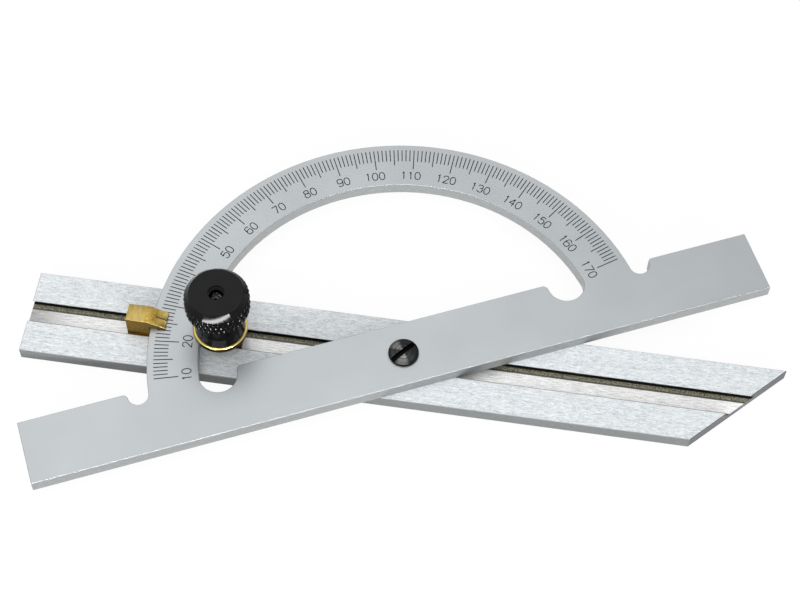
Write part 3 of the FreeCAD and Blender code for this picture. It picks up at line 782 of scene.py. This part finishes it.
# Each digit is drawn with single strokes in a cell one wide and one high. A doubled point is
# a corner.
OVAL = [(.3, 1), (.7, 1), (1, .75), (1, .25), (.7, 0), (.3, 0), (0, .25), (0, .75)]
SIX = [(.93, .84), (.82, 1), (.15, 1), (0, .68), (0, .1), (.2, 0), (.8, 0), (1, .1), (1, .5),
       (.8, .6), (.25, .6), (0, .42)]
DIGITS = {
    "0": [("closed", OVAL)],
    "1": [("open", [(.3, .8), (.55, 1), (.55, 1), (.55, 0)])],
    "2": [("open", [(.03, .74), (.1, 1), (.92, 1), (1, .62), (.62, .42), (0, 0), (0, 0), (1, 0)])],
    "3": [("open", [(.04, .8), (.15, 1), (.93, 1), (.93, .54), (.42, .54), (.42, .54), (1, .54),
                    (1, 0), (.12, 0), (0, .2)])],
    "4": [("open", [(.72, 0), (.72, 1), (.72, 1), (0, .32), (0, .32), (1, .32)])],
    "5": [("open", [(.9, 1), (.15, 1), (.15, 1), (.06, .55), (.06, .55), (.3, .66), (1, .66),
                    (1, 0), (.12, 0), (0, .2)])],
    "6": [("open", SIX)],
    "7": [("open", [(0, 1), (1, 1), (1, 1), (.35, 0)])],
    "8": [("closed", [(.3, 1), (.7, 1), (.92, .9), (.92, .64), (.7, .54), (.3, .54), (.08, .64),
                      (.08, .9)]),
          ("closed", [(.3, .54), (.7, .54), (1, .44), (1, .1), (.7, 0), (.3, 0), (0, .1),
                      (0, .44)])],
    "9": [("open", [(1 - x, 1 - y) for x, y in SIX])],
}
DIGIT_WIDTH, DIGIT_HEIGHT, DIGIT_PITCH = 1.1, 1.8, 1.45
LAST_DIGIT_CENTRE = 0.98
DIGIT_FOOT_RADIUS = 41.4
STROKE, MARK_HEIGHT = 0.19, 0.02
FIRST_NUMBER, LAST_NUMBER, NUMBER_STEP = 10, 170, 10


def make_digit(figure):
    """One digit as a round stroke, pressed nearly flat."""
    deselect()
    line = bpy.data.curves.new("digit_" + figure, "CURVE")
    line.dimensions = "3D"
    line.resolution_u = 5
    line.bevel_depth = STROKE / 2 * MM
    line.bevel_resolution = 1
    line.use_fill_caps = True
    for kind, points in DIGITS[figure]:
        spline = line.splines.new("NURBS")
        spline.points.add(len(points) - 1)
        for point, (across, up) in zip(spline.points, points):
            point.co = ((across - 0.5) * DIGIT_WIDTH * MM, up * DIGIT_HEIGHT * MM, 0, 1)
        spline.use_cyclic_u = kind == "closed"
        spline.use_endpoint_u = kind == "open"
        spline.order_u = 3
    obj = bpy.data.objects.new("digit_" + figure, line)
    bpy.context.scene.collection.objects.link(obj)
    take(obj)
    bpy.ops.object.convert(target="MESH")
    obj = bpy.context.object
    obj.scale.z = MARK_HEIGHT / STROKE
    settle(obj, "digit_" + figure)
    return obj


def make_numbers():
    """The numbers 10 to 170 inside the scale, read from the left and with their tops outwards."""
    stamps = {figure: make_digit(figure) for figure in DIGITS}
    placed = []
    for reading in range(FIRST_NUMBER, LAST_NUMBER + 1, NUMBER_STEP):
        text = str(reading)
        around = math.radians(180 + READING - reading)
        out = Vector((math.cos(around), math.sin(around), 0))
        right = Vector((math.sin(around), -math.cos(around), 0))
        for position, figure in enumerate(text):
            aside = LAST_DIGIT_CENTRE - (len(text) - 1 - position) * DIGIT_PITCH
            take(stamps[figure])
            bpy.ops.object.duplicate()
            copy = bpy.context.object
            copy.location = (out * DIGIT_FOOT_RADIUS + right * aside) * MM
            copy.location.z = (PLATE_TOP + MARK_HEIGHT / 2) * MM
            copy.rotation_euler.z = around - math.pi / 2
            placed.append(copy)
    join(placed[0], *placed[1:])
    for stamp in stamps.values():
        bpy.data.objects.remove(stamp)
    return settle(placed[0], "scale_numbers")


# Build

steel, chrome, paint = ground_steel(), satin_chrome(), mark_paint()
assign(nodes["rail"], steel)
assign(nodes["base_plate"], chrome)
for group in ("marks_degree", "marks_five", "marks_ten"):
    assign(nodes[group], paint)

knob, stud, washer, screw = make_knob(), make_stud(), make_washer(), make_pivot_screw()
pointer = make_slider()
nut = dressed_copy("pivot_nut", "pivot_nut_block", 0.06)
numbers = make_numbers()

for piece, material, body, cad_node, slot in (
    (knob, black_plate(), "knob", "clamp_knob", "knob_black"),
    (stud, dark_thread(), "swivel", "clamp_stud", "stud_steel"),
    (washer, turned_brass(), "washer", "clamp_washer", "washer_brass"),
    (screw, black_oxide(), "swivel", "pivot_screw", "pivot_screw_black"),
    (pointer, milled_brass(), "swivel", "slider_pointer", "pointer_brass"),
    (nut, machined_steel(), "swivel", "pivot_nut", "pivot_nut_steel"),
    (numbers, paint, "protractor", None, "mark_fill"),
):
    assign(piece, material)
    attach(piece, body)
    if cad_node:
        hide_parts(cad_node)


# Studio

def seen_rays(tree):
    """1 for a ray from the camera, off a mirroring surface or through a clear one, else 0."""
    rays = node(tree, "LightPath").outputs
    seen = node(tree, "Math", {0: rays["Is Camera Ray"], 1: rays["Is Glossy Ray"]},
                operation="MAXIMUM")
    return node(tree, "Math", {0: seen, 1: rays["Is Transmission Ray"]}, operation="MAXIMUM")


def studio_floor():
    """A plain white floor: it reads white to the eye and in reflections and keeps a soft shadow."""
    deselect()
    bpy.ops.mesh.primitive_plane_add(size=6, location=(0, 0, -0.02 * MM))
    floor = bpy.context.object
    floor.name = "studio_floor"
    material, tree, _, _ = new_material("white_paper_floor")
    share = node(tree, "Math", {0: seen_rays(tree), 1: 0.93}, operation="MULTIPLY")
    paper = node(tree, "BsdfDiffuse", {"Color": srgb("#FFFFFF")})
    glow = node(tree, "Emission", {"Color": grey(1.0), "Strength": 1.0})
    mixed = node(tree, "MixShader", {0: share, 1: paper, 2: glow})
    node(tree, "OutputMaterial", {"Surface": mixed})
    assign(floor, material)


def studio_world():
    """An even white room, seen or mirrored.

    Its ceiling is darker over the near side, and a little darker up to the right.
    """
    world = bpy.data.worlds.new("studio")
    bpy.context.scene.world = world
    world.use_nodes = True
    tree = world.node_tree
    tree.nodes.clear()
    way = node(tree, "TexCoord").outputs["Generated"]
    aside = node(tree, "VectorMath", {0: way, 1: (0.0, -0.5, 0.866)}, operation="DOT_PRODUCT")
    ceiling = node(tree, "MapRange", {
        "Value": aside, "From Min": 0.62, "From Max": 0.92, "To Min": 1.0, "To Max": 0.35,
    })
    right = node(tree, "VectorMath", {0: way, 1: (0.5, 0.4, 0.77)}, operation="DOT_PRODUCT")
    corner = node(tree, "MapRange", {
        "Value": right, "From Min": 0.72, "From Max": 0.96, "To Min": 1.0, "To Max": 0.8,
    })
    ceiling = node(tree, "Math", {0: ceiling, 1: corner}, operation="MINIMUM")
    strength = node(tree, "Mix", {0: seen_rays(tree), 2: 0.45, 3: ceiling}, data_type="FLOAT")
    glow = node(tree, "Background", {"Color": grey(1.0), "Strength": strength})
    node(tree, "OutputWorld", {"Surface": glow})


def softbox(name, place, size_x, size_y, power):
    """A rectangular lamp, its place and size in metres and power in watts, aimed at the pivot."""
    lamp = bpy.data.lights.new(name, "AREA")
    lamp.shape = "RECTANGLE"
    lamp.size, lamp.size_y = size_x, size_y
    lamp.energy = power
    obj = bpy.data.objects.new(name, lamp)
    bpy.context.scene.collection.objects.link(obj)
    obj.location = place
    obj.rotation_euler = Vector(place).to_track_quat("Z", "Y").to_euler()


def camera():
    """The photograph's viewpoint: about 59 degrees down on the object, from 0.36 m."""
    lens = bpy.data.cameras.new("view")
    lens.lens, lens.sensor_width = 82.54, 36
    lens.clip_start, lens.clip_end = 0.01, 20
    eye = bpy.data.objects.new("view", lens)
    bpy.context.scene.collection.objects.link(eye)
    right = Vector((0.98989, 0.14065, 0.01822)).normalized()
    back = Vector((0.05721, -0.51361, 0.85614)).normalized()
    up = back.cross(right)
    turn = Matrix((right, up, back)).transposed().to_4x4()
    place = Vector((18.470, -175.339, 317.934)) * MM
    eye.matrix_world = Matrix.Translation(place) @ turn
    bpy.context.scene.camera = eye


studio_floor()
studio_world()
softbox("overhead", (-0.15, 0.1, 1.0), size_x=1.1, size_y=1.1, power=3.8)
softbox("small_key", (0.0, 0.4, 1.0), size_x=0.06, size_y=0.06, power=0.14)
softbox("front_box", (-0.1, -0.8, 0.9), size_x=2.6, size_y=1.6, power=9.5)
softbox("front_strip", (0.1, -0.7, 0.2), size_x=1.2, size_y=0.025, power=6.5)
camera()

bpy.context.scene.view_settings.view_transform = "Standard"
